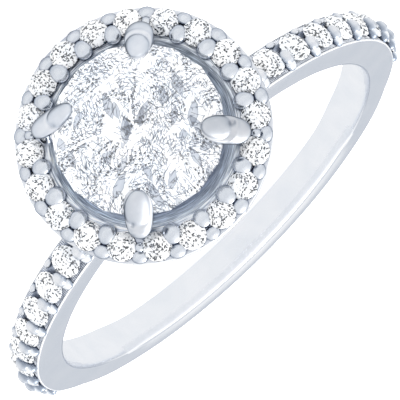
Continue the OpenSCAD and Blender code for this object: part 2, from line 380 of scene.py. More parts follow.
def channel_metal():
    """The wall and ledge round the centre stone: painted shade darker towards the stone, streaks round it,
    one side painted brighter, and painted shade in crevices.
    """
    mat, tree, shader = principled("white_gold_channel")
    place = ring_place(tree)
    radius, angle, height = around_head(tree, place)
    share = add(tree, "MapRange",
                From_Min=HALO_INNER_R - CHANNEL_FROM, From_Max=HALO_INNER_R + CHANNEL_TO)
    tree.links.new(radius, share.inputs["Value"])
    # Painted shade, darkest at the stone's girdle
    tone = colours(tree, share.outputs[0], CHANNEL_SHADE_TONES)
    scaled = add(tree, "CombineXYZ")
    for source, factor, socket in zip((radius, angle, height), STREAKS, "XYZ"):
        tree.links.new(math_node(tree, "MULTIPLY", source, factor), scaled.inputs[socket])
    streaks = noise(tree, scaled.outputs[0], 1.0, STREAK_DETAIL)
    lines = colours(tree, streaks, STREAK_TONES)
    # Painted light, brightest towards one side of the head
    turned = math_node(tree, "COSINE", math_node(tree, "SUBTRACT", angle, math.radians(BRIGHT_SIDE)))
    near = add(tree, "MapRange", Value=turned, From_Min=-1.0, From_Max=1.0)
    lit = add(tree, "MapRange", To_Min=BRIGHT[0], To_Max=BRIGHT[1])
    tree.links.new(math_node(tree, "POWER", near.outputs[0], BRIGHT_POWER), lit.inputs["Value"])
    lines = multiply(tree, lines, lit.outputs[0])
    shaded = crevices(tree, multiply(tree, tone, lines), CREVICE_SHADE_REACH, CHANNEL_CREVICE_SHADE)
    tree.links.new(shaded, shader.inputs["Base Color"])
    shader.inputs["Metallic"].default_value = 1
    shader.inputs["Roughness"].default_value = CHANNEL_ROUGH
    bump = add(tree, "Bump", Height=streaks, Strength=STREAK_BUMP, Distance=STREAK_DEPTH * MM)
    tree.links.new(bump.outputs[0], shader.inputs["Normal"])
    return mat


def strokes(tree, place, cells, stretch, turn, width, shade):
    """Short bent lines on white: the edges of cells that are longer one way, broken up. turn is how far, in
    degrees, those cells are turned about the head's axis."""
    turned = add(tree, "Mapping")
    turned.inputs["Rotation"].default_value = (0, 0, math.radians(turn))
    turned.inputs["Scale"].default_value = (cells, cells / stretch, cells)
    tree.links.new(place, turned.inputs["Vector"])
    spread = turned.outputs["Vector"]
    bent = add(tree, "TexNoise", Vector=spread, Scale=1.6)
    wavy = vector_math(tree, "MULTIPLY_ADD", bent.outputs["Color"], (0.7, 0.7, 0.7), spread)
    crack = add(tree, "TexVoronoi", Vector=wavy, Scale=1.0)
    crack.feature = "DISTANCE_TO_EDGE"
    drawn = colours(tree, crack.outputs["Distance"], ((width * 0.4, shade), (width, WHITE)))
    return in_places(tree, spread, 0.9, 0.45, drawn)


# How far the marks of a patch swing apart, in radians
LEAF_SWING = 1.3


def leaves(tree, place, cells, length, width, share, stops, patches=1.3):
    """One lens-shaped mark in a share of the cells. length and width are its half sizes in cells; the
    stops give its tones from its middle, 0, to its edge, 1, and on to white. The marks lie much the same
    way within a patch, as facets show them; patches is how many of those there are to a mm."""
    flat = add(tree, "Mapping")
    flat.inputs["Scale"].default_value = (cells, cells, 0)
    tree.links.new(place, flat.inputs["Vector"])
    cell = add(tree, "TexVoronoi", Vector=flat.outputs["Vector"], Scale=1.0, Randomness=0.8)
    chance = add(tree, "SeparateColor")
    tree.links.new(cell.outputs["Color"], chance.inputs[0])
    patch = add(tree, "TexVoronoi", Vector=place, Scale=patches)
    lie = add(tree, "SeparateColor")
    tree.links.new(patch.outputs["Color"], lie.inputs[0])
    swing = math_node(tree, "MULTIPLY", chance.outputs[0], LEAF_SWING)
    angle = math_node(tree, "ADD", swing, math_node(tree, "MULTIPLY", lie.outputs[0], 2 * math.pi))
    turned = add(tree, "VectorRotate")
    turned.rotation_type = "Z_AXIS"
    from_middle = vector_math(tree, "SUBTRACT", flat.outputs["Vector"], cell.outputs["Position"])
    tree.links.new(from_middle, turned.inputs["Vector"])
    tree.links.new(angle, turned.inputs["Angle"])
    sized = add(tree, "SeparateXYZ")
    in_halves = vector_math(tree, "MULTIPLY", turned.outputs[0], (1 / length, 1 / width, 0))
    tree.links.new(in_halves, sized.inputs[0])
    along = math_node(tree, "MULTIPLY", sized.outputs["X"], sized.outputs["X"])
    lens = math_node(tree, "ADD", along, math_node(tree, "ABSOLUTE", sized.outputs["Y"]))
    # A ramp ends at 1 and some stops lie past it, so both are halved
    drawn = colours(tree, math_node(tree, "MULTIPLY", lens, 0.5), [(at * 0.5, tone) for at, tone in stops])
    pick = colours(tree, chance.outputs[1], ((share, BLACK), (share + 0.005, WHITE)))
    return lighten(tree, drawn, pick)


def dots(tree, place, cells, radius, share, shade):
    """Small dark dots in a share of the cells, on white."""
    cell = add(tree, "TexVoronoi", Vector=place, Scale=cells)
    spot = colours(tree, cell.outputs["Distance"], ((radius * 0.6, shade), (radius, WHITE)))
    pick = colours(tree, cell.outputs["Color"], ((share, BLACK), (share + 0.02, WHITE)))
    return lighten(tree, spot, pick)


def in_places(tree, place, scale, share, drawn):
    """Keeps what is drawn in some places only, in fewer of them the lower the share is."""
    hide = colours(tree, noise(tree, place, scale, 2.0), ((share - 0.03, BLACK), (share + 0.03, WHITE)))
    return lighten(tree, hide, drawn)


# Refractive index of diamond, and the stones' faint haze
DIAMOND_IOR = 2.417
HAZE = ((0.4, PEARL), (0.62, WHITE))
HAZE_PATCHES = 0.7


def diamond(name, clear, tilt, paint):
    """Cut stone with natural flaws and painted dark reflections. clear is how much light goes through it;
    tilt, as cells to a mm and an amount, breaks up the facets where light enters; paint gives the layers of
    its feathers and specks, which also stand for dark reflections in its facets."""
    mat, tree, shader = principled(name)
    link = tree.links.new
    place = ring_place(tree)
    shader.inputs["Roughness"].default_value = 0
    shader.inputs["IOR"].default_value = DIAMOND_IOR
    shader.inputs["Transmission Weight"].default_value = clear
    geometry = add(tree, "NewGeometry")
    outside = add(tree, "MapRange", Value=geometry.outputs["Backfacing"], From_Min=1.0, From_Max=0.0)
    cells, amount = tilt
    mosaic = add(tree, "TexVoronoi", Vector=place, Scale=cells)
    centred = vector_math(tree, "SUBTRACT", mosaic.outputs["Color"], (0.5, 0.5, 0.5))
    lean = vector_math(tree, "MULTIPLY", centred, (amount, amount, amount))
    masked = vector_math(tree, "MULTIPLY", lean, outside.outputs[0])
    tilted = vector_math(tree, "ADD", geometry.outputs["Normal"], masked)
    link(vector_math(tree, "NORMALIZE", tilted), shader.inputs["Normal"])
    tone = colours(tree, noise(tree, place, HAZE_PATCHES), HAZE)
    for drawn in paint(tree, place):
        tone = multiply(tree, tone, drawn)
    link(tone, shader.inputs["Base Color"])
    return mat


def large_flaws_and_reflections(tree, place):
    """Feathers, leaf-shaped planes and specks of the centre stone, and dark reflections painted among them
    as marks, fainter from below.
    """
    soft = ((0.55, (0.31, 0.35, 0.41)), (1.15, WHITE))
    firm = ((0.6, FLAW_AND_REFLECTION_LINE), (1.1, WHITE))
    deep = ((0.7, (0.02, 0.03, 0.05)), (1.2, WHITE))
    inside = ((0.0, (0.55, 0.58, 0.63)), (0.8, (0.48, 0.51, 0.56)))
    leaf = (*inside, (0.88, (0.2, 0.22, 0.26)), (0.98, WHITE))
    bend = add(tree, "TexNoise", Vector=place, Scale=2.0)
    bent = vector_math(tree, "MULTIPLY_ADD", bend.outputs["Color"], (0.12, 0.12, 0), place)
    fine = (
        leaves(tree, place, 2.3, 0.6, 0.045, 0.9, soft),
        leaves(tree, place, 2.8, 0.6, 0.055, 0.9, soft),
        leaves(tree, place, 3.4, 0.6, 0.07, 0.9, soft, 0.9),
        leaves(tree, place, 4.1, 0.6, 0.085, 0.85, soft, 1.7),
        leaves(tree, place, 4.9, 0.5, 0.11, 0.8, soft, 0.8),
        in_places(tree, place, 1.2, 0.5, leaves(tree, place, 2.2, 0.6, 0.04, 0.9, firm, 0.7)),
        in_places(tree, place, 1.4, 0.5, leaves(tree, place, 3.6, 0.55, 0.075, 0.85, firm)),
        in_places(tree, place, 1.3, 0.48, leaves(tree, place, 5.2, 0.36, 0.19, 0.8, deep)),
    )
    marks = [in_places(tree, place, 1.1, 0.54, layer) for layer in fine] + [
        leaves(tree, place, 2.0, 0.6, 0.04, 0.8, soft, 0.7),
        in_places(tree, place, 0.8, 0.48, leaves(tree, place, 3.1, 0.6, 0.065, 0.85, soft)),
        in_places(tree, place, 0.9, 0.46, leaves(tree, place, 5.3, 0.4, 0.14, 0.8, soft)),
        leaves(tree, bent, 0.8, 0.5, 0.16, 0.25, leaf, 0.05),
        leaves(tree, bent, 1.15, 0.5, 0.19, 0.16, leaf, 0.05),
        leaves(tree, place, 1.0, 0.55, 0.012, 0.7, firm),
        leaves(tree, place, 1.7, 0.55, 0.02, 0.5, firm),
    ]
    drawn = marks[0]
    for mark in marks[1:]:
        drawn = multiply(tree, drawn, mark)
    below = colours(tree, outwards(tree, True), ((0.0, MIST), (0.1, BLACK)))
    return (lighten(tree, below, drawn),)


def small_flaws_and_reflections(tree, place):
    """Specks and short strokes of the small stones: flaws, and dark reflections painted as marks."""
    dark = (0.0, 0.01, 0.02)
    bold = ((0.75, dark), (1.15, WHITE))
    return (
        in_places(tree, place, 3.0, 0.5, strokes(tree, place, 8.0, 1.6, 30, 0.17, FLAW_AND_REFLECTION_LINE)),
        in_places(tree, place, 2.6, 0.52, leaves(tree, place, 4.6, 0.5, 0.15, 0.8, bold, 2.5)),
        in_places(tree, place, 2.4, 0.5, leaves(tree, place, 6.6, 0.45, 0.2, 0.8, bold, 3.0)),
        in_places(tree, place, 3.2, 0.5, dots(tree, place, 9.0, 0.45, 0.55, dark)),
    )


def wear(obj, mat):
    obj.data.materials.clear()
    obj.data.materials.append(mat)


# Mesh helpers: all pieces are drawn in mm in the ring's own frame

SHARP_ANGLE = 35


class Drawing:
    """Collects the points and faces of one piece."""

    def __init__(self):
        self.points = []
        self.faces = []
        self.finishes = []

    def grid(self, rows, across=False, along=False, finish=None):
        """Joins rows of points with four-sided faces; along and across close the grid on itself.
        finish gives the number of a face's material."""
        start = len(self.points)
        wide = len(rows[0])
        for row in rows:
            self.points.extend(row)
        for i in range(len(rows) if along else len(rows) - 1):
            for j in range(wide if across else wide - 1):
                this = start + i * wide
                after = start + (i + 1) % len(rows) * wide
                beside = (j + 1) % wide
                self.faces.append([this + j, after + j, after + beside, this + beside])
                self.finishes.append(finish(i, j) if finish else 0)

    def fan(self, row, tip, turned, finish=0):
        """Closes a ring of points, the last row drawn or the first, with a tip."""
        self.points.append(tip)
        last = len(self.points) - 1
        for j in range(len(row)):
            k = (j + 1) % len(row)
            self.faces.append([row[j], row[k], last] if turned else [row[k], row[j], last])
            self.finishes.append(finish)

    def tube(self, rings, finish=0):
        """A closed body through rings of points; the first and the last ring are single points."""
        pick = finish if callable(finish) else lambda i, j: finish
        start = len(self.points)
        wide = len(rings[1])
        self.grid(rings[1:-1], across=True, finish=pick)
        self.fan(list(range(start, start + wide)), rings[0][0], False, pick(0, 0))
        last = start + (len(rings) - 3) * wide
        self.fan(list(range(last, last + wide)), rings[-1][0], True, pick(len(rings) - 3, 0))

    def piece(self, name, mats, sharp=SHARP_ANGLE):
        data = bpy.data.meshes.new(name)
        data.from_pydata([FROM_MM @ Vector(p) for p in self.points], [], self.faces)
        for mat in mats:
            data.materials.append(mat)
        for face, finish in zip(data.polygons, self.finishes):
            face.use_smooth = True
            face.material_index = finish
        data.set_sharp_from_angle(angle=math.radians(sharp))
        obj = bpy.data.objects.new(name, data)
        bpy.context.scene.collection.objects.link(obj)
        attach(obj, "root")
        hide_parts("ring_metal")
        return obj


def closed_grid(rows, finishes):
    """A drawing of rows that are joined all round. A face has the lower finish of its two points in the
    first of its rows."""
    wide = len(rows[0])

    def pick(i, j):
        return min(finishes[i][j], finishes[i][(j + 1) % wide])

    draw = Drawing()
    draw.grid(rows, across=True, along=True, finish=pick)
    return draw


def on_shank(angle, radius, along):
    """A point at an angle from the head, a radius and a place along the finger."""
    turn = math.radians(angle)
    return (radius * math.sin(turn), along, radius * math.cos(turn))


def on_halo(angle, radius, height):
    """A point at an angle round the head's axis, a distance from it and a height."""
    turn = math.radians(angle)
    return (radius * math.cos(turn), radius * math.sin(turn), height)


def pavilion_depth(diameter, out):
    """How far a stone's underside lies below its girdle's middle, at a distance from its axis."""
    return diameter * (GIRDLE_SHARE / 2 + PAVILION_SHARE * (1 - 2 * out / diameter))


# Shank: u is a place along the finger, in mm from the middle of the band

# Its finishes, in the order of its materials; recess, rib and shade carry painted shade, edge a painted
# highlight
BAND_GOLD, BAND_RECESS, BAND_CUP, BAND_RIB, BAND_EDGE, BAND_SHADE, BAND_SOFT = range(7)
# Gap under the stones, and how far out the light cup under one reaches, as a share of its width
SEAT_GAP = 0.03
CUP_SHARE = 0.4
# Stone-set surface: its edge, the sunk strip with ribs along it, the ribs' pitch in degrees, and the pit
EDGE_U = 0.74
SCALLOP_U = 0.42
SCALLOP_DROP = 0.02
RIB_PITCH = 0.55
RIB_DEPTH = 0.06
PIT_DEPTH = 0.03
PIT_U = (-0.54, GROOVE_HALF)
# Lines that the surface is drawn with: one at each step in from its edge, then some nearer the middle
LINE_STEP = 0.04
LINE_COUNT = 12
MIDDLE_LINES = [GROOVE_HALF + 0.01, GROOVE_HALF - 0.01, 0.12, 0]
# Sections of the band: to a rib, and over all of the plain half
RIB_SECTIONS = 4
PLAIN_SECTIONS = 180
BAND_SHARP = 50
# Angles between which the band takes on its plain section; pairs of sizes are for before and after that
PLAIN_ANGLES = (126, 142)
# Rounded edge of the finger hole: width, height and steps
COMFORT_W = 0.35
COMFORT_H = (0.05, 0.16)
COMFORT_STEPS = 6
# Fine step next to it, as distance outwards and depth, and the side face that leans in towards it
STEP_LINE = ((0.015, 0.025), (0.035, 0.025), (0.05, 0))
SIDE_TILT = 0.07
TILT_POWER = 1.5
SIDE_STEPS = 5
CREST_DROP = 0.34
# Rounding of the outer edges, and how far the plain half bulges between them
EDGE_ROUND = (0.06, 0.13)
ROUND_STEPS = 4
BULGE = 0.03
BORE_STEPS = 6
# Angles between which the edge of the finger hole is shaded, and over how many it narrows at the second
BORE_LINE = (84, 129)
BORE_LINE_TAPER = 25


def nearest_stone(angle):
    """Degrees from the nearest shank stone on that side."""
    away = abs(angle) - FIRST_STONE
    index = min(max(round(away / SHANK_PITCH), 0), SHANK_STONES - 1)
    return away - index * SHANK_PITCH


def set_surface(angle, u):
    """Radius of the stone-set surface, and its finish there: painted shade in the pits, in the grooves
    between ribs and round the stones' edges.
    """
    out = abs(u)
    radius = SET_R - SCALLOP_DROP * between(EDGE_U - out, 0, EDGE_U - SCALLOP_U)
    inside = FIRST_STONE - SHANK_PITCH / 2 < abs(angle) < SET_END
    ribbed = SCALLOP_U < out < EDGE_U and inside
    wave = math.cos(2 * math.pi * angle / RIB_PITCH)
    if ribbed:
        radius -= RIB_DEPTH * (0.5 + 0.5 * wave)
    away = math.radians(nearest_stone(angle)) * SET_R
    reach = math.hypot(away, u)
    pit = PIT_U[0] < u < PIT_U[1] and inside
    if pit:
        radius = SET_R - PIT_DEPTH
    if reach < SHANK_STONE_D / 2:
        seat = SHANK_GIRDLE_R - pavilion_depth(SHANK_STONE_D, reach) - SEAT_GAP
        if seat < radius:
            return seat, BAND_CUP if reach < SHANK_STONE_D * CUP_SHARE else BAND_RECESS
    if pit:
        return radius, BAND_RECESS
    # Painted shade in the grooves between the ribs; the ridges take the light cup finish
    if ribbed:
        return radius, BAND_RIB if wave > 0 else BAND_CUP
    return radius, BAND_GOLD


def side_of_section(top, round_r, lower):
    """Points of one side of a section, from the finger hole outwards, and the indexes of the first after
    the rounded edge of the hole and of the first of the outer edge."""
    comfort_r = blend(*COMFORT_H, lower)
    tilt = SIDE_TILT * lower
    side = []
    for k in range(COMFORT_STEPS + 1):
        turn = math.radians(90 * k / COMFORT_STEPS)
        radius = BORE_R + comfort_r * (1 - math.cos(turn))
        side.append((radius, HALF_W - tilt - COMFORT_W * (1 - math.sin(turn))))
    line = len(side)
    for out, deep in STEP_LINE:
        side.append((BORE_R + comfort_r + out, HALF_W - tilt - deep * (1 - lower)))
    first = BORE_R + comfort_r + STEP_LINE[-1][0]
    for k in range(1, SIDE_STEPS + 1):
        radius = blend(first, PLAIN_R - CREST_DROP, k / SIDE_STEPS)
        side.append((radius, HALF_W - tilt * (1 - k / SIDE_STEPS) ** TILT_POWER))
    bevel = len(side)
    for k in range(ROUND_STEPS + 1):
        turn = math.radians(90 * k / ROUND_STEPS)
        radius = top - round_r * (1 - math.sin(turn))
        side.append((radius, HALF_W - round_r * (1 - math.cos(turn))))
    return side, line, bevel


def shank_section(angle):
    """One closed section of the shank, and the finish at each of its points."""
    lower = between(abs(angle), *PLAIN_ANGLES)
    ramp = min(max((abs(angle) - RAMP_START) / (RAMP_END - RAMP_START), 0), 1)
    top = blend(SET_R, PLAIN_R, ramp)
    round_r = blend(*EDGE_ROUND, lower)
    points, finishes = [], []

    def put(radius, u, finish=BAND_GOLD):
        points.append((radius, u))
        finishes.append(finish)

    side, line, bevel = side_of_section(top, round_r, lower)
    marks = [BAND_GOLD] * len(side)
    if BORE_LINE[0] < abs(angle) < BORE_LINE[1]:
        shaded = 1 + round(line * min((BORE_LINE[1] - abs(angle)) / BORE_LINE_TAPER, 1))
        marks[line + 2 - shaded:line + 2] = [BAND_SHADE] * shaded
    elif abs(angle) >= BORE_LINE[1]:
        marks[:line] = [BAND_SOFT] * line
        marks[bevel:] = [BAND_SOFT] * (len(side) - bevel)
    # Painted highlight: the rounded outer edge of the stone-set half is lighter
    if ramp < 1:
        marks[bevel:] = [BAND_EDGE] * (len(side) - bevel)

    for k in range(1, BORE_STEPS):
        put(BORE_R, blend(-(HALF_W - COMFORT_W), HALF_W - COMFORT_W, k / BORE_STEPS))
    for (radius, u), mark in zip(side, marks):
        put(radius, u, mark)
    across = [round(EDGE_U - LINE_STEP * k, 2) for k in range(LINE_COUNT)] + MIDDLE_LINES
    edge = HALF_W - round_r
    for u in across + [-u for u in reversed(across[:-1])]:
        if ramp == 0:
            radius, finish = set_surface(angle, u)
            put(radius, u, finish)
        else:
            put(top + BULGE * lower * (1 - (u / EDGE_U) ** 2), u * edge / EDGE_U)
    for (radius, u), mark in zip(reversed(side), reversed(marks)):
        put(radius, -u, BAND_GOLD if mark in (BAND_SHADE, BAND_SOFT) else mark)
    return points, finishes


def shank_band(mats):
    """The band: fine sections over the stone-set half and coarser ones over the rest."""
    count = round(2 * RAMP_START / (RIB_PITCH / RIB_SECTIONS))
    angles = [-RAMP_START + 2 * RAMP_START * k / count for k in range(count + 1)]
    rest = 360 - 2 * RAMP_START
    angles += [RAMP_START + rest * k / PLAIN_SECTIONS for k in range(1, PLAIN_SECTIONS)]
    rows, finishes = [], []
    for angle in angles:
        turned = angle - 360 if angle > 180 else angle
        points, marks = shank_section(turned)
        rows.append([on_shank(angle, radius, u) for radius, u in points])
        finishes.append(marks)
    closed_grid(rows, finishes).piece("shank_band", mats, BAND_SHARP)


def frame_ring(centre, side, up, half_side, half_up, sides):
    """A ring of points round a centre, an ellipse across two directions."""
    ring = []
    for k in range(sides):
        turn = 2 * math.pi * k / sides
        ring.append(centre + side * half_side * math.cos(turn) + up * half_up * math.sin(turn))
    return ring


ROD_SIDES = 28
LOBE_ROWS = 16


def rod(draw, path, side, finish=0):
    """A rounded body along a path of (point, half width, half thickness); its ends are drawn to points."""
    rings = [[path[0][0]]]
    for i in range(1, len(path) - 1):
        point, half_side, half_up = path[i]
        along = (path[i + 1][0] - path[i - 1][0]).normalized()
        rings.append(frame_ring(point, side, side.cross(along), half_side, half_up, ROD_SIDES))
    rings.append([path[-1][0]])
    draw.tube(rings, finish)


def lobe(draw, centre, long_way, up, size, finish=0):
    """An egg-shaped body with half sizes along, across and up."""
    path = []
    for i in range(LOBE_ROWS + 1):
        along = -math.cos(math.pi * i / LOBE_ROWS)
        wide = math.sqrt(max(1 - along * along, 0))
        path.append((centre + long_way * size[0] * along, size[1] * wide, size[2] * wide))
    rod(draw, path, long_way.cross(up), finish)


def smooth_path(marks, steps):
    """A smooth path through marks of (point, half width, half thickness)."""
    whole = []
    count = len(marks)

    def mark(i):
        return marks[min(max(i, 0), count - 1)]

    def curve(a, b, c, d, t):
        """A curve through b at 0 and c at 1, which heads there from a and on to d."""
        bend = (a * 2 - b * 5 + c * 4 - d) * t * t
        return (b * 2 + (c - a) * t + bend + (b * 3 - a - c * 3 + d) * t ** 3) * 0.5

    for i in range(count - 1):
        for k in range(steps):
            t = k / steps
            four = [mark(i + n) for n in (-1, 0, 1, 2)]
            whole.append(tuple(curve(*[m[part] for m in four], t) for part in range(3)))
    whole.append(marks[-1])
    return whole


CAP_ROWS = 6


def domed(path, start, end):
    """Adds round ends of a given length to a path."""
    def cap(place, along, length):
        point, wide, thick = place
        out = []
        for k in range(1, CAP_ROWS + 1):
            turn = math.radians(90 * k / CAP_ROWS)
            narrow = math.cos(turn)
            out.append((point + along * length * math.sin(turn), wide * narrow, thick * narrow))
        return out

    first = cap(path[0], (path[0][0] - path[1][0]).normalized(), start)
    last = cap(path[-1], (path[-1][0] - path[-2][0]).normalized(), end)
    return first[::-1] + path + last


# Finishes of the shank prongs, in the order of their materials; the tips are lighter: a painted highlight
PRONG_DOME, PRONG_TIP = range(2)
# Bodies of the prongs between two stones: place along the finger, radius over the set surface, half sizes
# along the finger, round the ring and outwards, and the finish
PRONG_BODIES = (
    (0.24, 0.2, (0.34, 0.3, 0.26), PRONG_DOME),
    (0.52, 0.06, (0.3, 0.26, 0.22), PRONG_TIP),
    (-0.62, 0.02, (0.16, 0.24, 0.14), PRONG_DOME),
)
# How much higher the prongs get towards the end of a row, how much narrower with that, and the share of it
# that the last ones have
END_RAISE = 0.14
END_NARROW = 0.45
LAST_SHARE = 0.5


def shank_prongs(mats):
    """Prongs between the shank stones: a dome over the stones' edges and a lower tip at the ring's edge."""
    draw = Drawing()
    along = Vector((0, 1, 0))
    for side in (-1, 1):
        for i in range(SHANK_STONES + 1):
            angle = side * (FIRST_STONE + (i - 0.5) * SHANK_PITCH)
            out = Vector(on_shank(angle, 1, 0))
            whole = 1 if i < SHANK_STONES else LAST_SHARE
            raised = END_RAISE * between(i, 2, SHANK_STONES - 2) * whole
            for u, lift, size, finish in PRONG_BODIES:
                inwards = raised if u < 0 else 0
                grown = (size[0] + inwards, size[1] - raised * END_NARROW, size[2] + raised / 2)
                middle = Vector(on_shank(angle, SET_R + lift + raised / 2, u + inwards))
                lobe(draw, middle, along, out, grown, finish)
    draw.piece("shank_prongs", mats)


# Halo

# Finishes of the plate, in the order of its materials; recess and channel carry painted shade
PLATE_GOLD, PLATE_RECESS, PLATE_CHANNEL, PLATE_CUP = range(4)
PLATE_SECTIONS = 30
# Sloping wall inside: height, lean from upright in degrees, steps, and the faint ridges across it
INNER_WALL_H = 1.0
INNER_WALL_LEAN = 40
INNER_WALL_STEPS = 14
RIDGE = 0.012
RIDGE_TURN = 2.4
# Top of the plate: how far its lines stay from its edges, their steps, and the width of the bare ledge
TOP_INSET = 0.04
TOP_STEPS = 26
BARE_W = 0.25
# Outer wall: distance in from the rim and depth below it, then the same for the inner end of the underside
OUTER_WALL = ((0.03, 0.02), (0, 0.06), (0.02, 0.25), (0.06, 0.45), (0.1, 0.53), (0.18, 0.57))
UNDER_OUT = 0.35
UNDER_RIM_DROP = 0.75
UNDER_BOWL_DROP = 0.2


def halo_surface(angle, radius):
    """Height of the top of the halo, and its finish there, with painted shade round the stones' edges."""
    height = HALO_H - PLATE_DROP - (radius - HALO_R) * HALO_LEAN
    away = math.radians(angle - round(angle / HALO_PITCH) * HALO_PITCH) * HALO_R
    reach = math.hypot(away, radius - HALO_R)
    if reach < HALO_STONE_D / 2:
        lean = (radius - HALO_R) * HALO_LEAN
        seat = HALO_H - lean - pavilion_depth(HALO_STONE_D, reach) - SEAT_GAP
        if seat < height:
            return seat, PLATE_CUP if reach < HALO_STONE_D * CUP_SHARE else PLATE_RECESS
    return height, PLATE_GOLD


def halo_gallery(mats):
    """The plate that carries the halo stones, its outer wall and the sloping wall inside."""
    segments = HALO_STONES * PLATE_SECTIONS
    bowl_r = HALO_INNER_R - INNER_WALL_H * math.tan(math.radians(INNER_WALL_LEAN))
    ledge_h = HALO_H - PLATE_DROP + (HALO_R - HALO_INNER_R) * HALO_LEAN
    rim_h = HALO_H - PLATE_DROP - (HALO_OUTER_R - HALO_R) * HALO_LEAN
    slope = []
    for k in range(INNER_WALL_STEPS + 1):
        share = k / INNER_WALL_STEPS
        radius = blend(bowl_r, HALO_INNER_R, share) + RIDGE * math.sin(k * RIDGE_TURN)
        slope.append((radius, blend(ledge_h - INNER_WALL_H, ledge_h, share)))
    top_w = HALO_OUTER_R - 2 * TOP_INSET - HALO_INNER_R
    top = [HALO_INNER_R + TOP_INSET + top_w * k / TOP_STEPS for k in range(TOP_STEPS + 1)]
    under = [(HALO_OUTER_R - inwards, rim_h - drop) for inwards, drop in OUTER_WALL]
    under.append((HALO_INNER_R + UNDER_OUT, rim_h - UNDER_RIM_DROP))
    under.append((bowl_r + UNDER_OUT, ledge_h - INNER_WALL_H - UNDER_BOWL_DROP))
    rows, finishes = [], []
    for i in range(segments):
        angle = 360 * i / segments
        row = [on_halo(angle, r, h) for r, h in slope]
        marks = [PLATE_CHANNEL] * len(slope)
        for radius in top:
            height, finish = halo_surface(angle, radius)
            if finish == PLATE_GOLD and radius < HALO_INNER_R + BARE_W:
                finish = PLATE_CHANNEL
            row.append(on_halo(angle, radius, height))
            marks.append(finish)
        row += [on_halo(angle, r, h) for r, h in under]
        marks += [PLATE_GOLD] * len(under)
        rows.append(row)
        finishes.append(marks)
    closed_grid(rows, finishes).piece("halo_gallery", mats)


PEBBLE_SIDES = 18
PEBBLE_ROWS = 9


def pebble(draw, centre, out, round_way, up, size):
    """A rounded bead with half sizes outwards, round the ring and upwards."""
    rings = [[centre + up * size[2]]]
    for i in range(1, PEBBLE_ROWS):
        turn = math.pi * i / PEBBLE_ROWS
        wide = math.sin(turn)
        ring_centre = centre + up * size[2] * math.cos(turn)
        ring = frame_ring(ring_centre, out, round_way, size[0] * wide, size[1] * wide, PEBBLE_SIDES)
        rings.append(ring[::-1])
    rings.append([centre - up * size[2]])
    draw.tube(rings)


# Rows of beads: distance outwards from the stones' circle, lift over the plate, half sizes outwards, round
# the halo and upwards, and whether the main prongs stand in front of some of them
BEAD_ROWS = {
    "halo_inner_beads": (-0.34, 0.1, (0.43, 0.39, 0.25), True),
    "halo_outer_beads": (0.33, 0.02, (0.3, 0.36, 0.22), False),
}
# Place and half sizes of a bead behind a main prong
BEHIND_OUT = -0.02
BEHIND_SIZE = (0.22, 0.2, 0.14)
# How unlike in size the beads are, and how that goes on from one to the next
BEAD_SPREAD = 0.06
BEAD_TURN = 2.7


def halo_beads(bead_gold):
    """Domed beads over the edges of the halo stones; an inner one is smaller behind a main prong."""
    every = HALO_STONES // MAIN_PRONGS
    for name, (outward, lift, size, gaps) in BEAD_ROWS.items():
        draw = Drawing()
        for i in range(HALO_STONES):
            behind = gaps and i % every == every // 2
            bead_r = HALO_R + (BEHIND_OUT if behind else outward)
            bead_size = BEHIND_SIZE if behind else size
            angle = (i + 0.5) * HALO_PITCH
            out = Vector(on_halo(angle, 1, -HALO_LEAN)).normalized()
            round_way = Vector(on_halo(angle + 90, 1, 0))
            up = out.cross(round_way)
            height = HALO_H - PLATE_DROP - (bead_r - HALO_R) * HALO_LEAN + lift
            wobble = 1 + BEAD_SPREAD * math.sin(i * BEAD_TURN)
            half = [s * wobble for s in bead_size]
            pebble(draw, Vector(on_halo(angle, bead_r, height)), out, round_way, up, half)
        draw.piece(name, (bead_gold,))


# Main prongs

# Finishes of a main prong, in the order of its materials: the rise a darker and the rest a lighter copy of
# the claw's metal, with painted light and shade
CLAW_EGG, CLAW_BODY, CLAW_LEG = range(3)
# How a claw follows the crown of the centre stone: slope, bend and height over the halo stones' girdles
CROWN_SLOPE = 0.45
CROWN_BEND = 0.12
CLAW_LIFT = 0.95
# Dome of a claw: height over and depth under its outline, and how flat it is on top
CLAW_RISE = 0.34
CLAW_DEPTH = 0.3
CLAW_POWER = 2.4
# Relief on it, which fades out near its outline: the egg-shaped rise, the crease round that and the collar.
# Places and widths of the crease and the collar are multiples of the rise's size
RELIEF_FADE = 0.14
EGG_RISE = 0.1
EGG_POWER = 0.6
CREASE = 0.03
CREASE_AT = 1.04
CREASE_W = 0.1
COLLAR_W = 0.12
CLAW_STEPS = 26
CLAW_TURNS = 96
CLAW_SHARP = 70
# The leg: distance from the head's axis, height, half width, half thickness, and how far it goes sideways
# with its claw. It has round ends, of two lengths
LEG = (
    (0.72, SET_R - 0.4, 0.4, 0.4, 0),
    (2.3, SET_R + 1.5, 0.4, 0.4, 0),
    (3.55, HALO_H - 0.72, 0.41, 0.4, 0),
    (3.84, HALO_H - 0.1, 0.38, 0.36, 0),
    (3.84, HALO_H + 0.45, 0.28, 0.32, 0.6),
)
LEG_STEPS = 6
LEG_ENDS = (0.2, 0.1)

# Each claw was bent over by hand, so no two are alike. Outline of a claw and of the egg-shaped rise on it:
# distance from the head's axis, place sideways, turn, half length, half width, taper and squareness
CLAWS = (
    ((3.43, 0.13, 0, 0.91, 0.59, -0.1, 2.5), (3.2, 0.12, 15, 0.68, 0.52, 0.25, 2.1)),
    ((3.51, -0.07, 0, 0.95, 0.59, 0.0, 2.3), (3.18, 0.0, -6, 0.56, 0.5, 0.1, 2.1)),
    ((3.55, 0.08, -3, 0.88, 0.58, 0.18, 2.1), (3.3, 0.1, 0, 0.52, 0.5, 0.0, 2.0)),
    ((3.44, -0.38, -28, 1.0, 0.48, 0.04, 2.4), (3.06, -0.56, -32, 0.62, 0.44, 0.0, 2.0)),
)
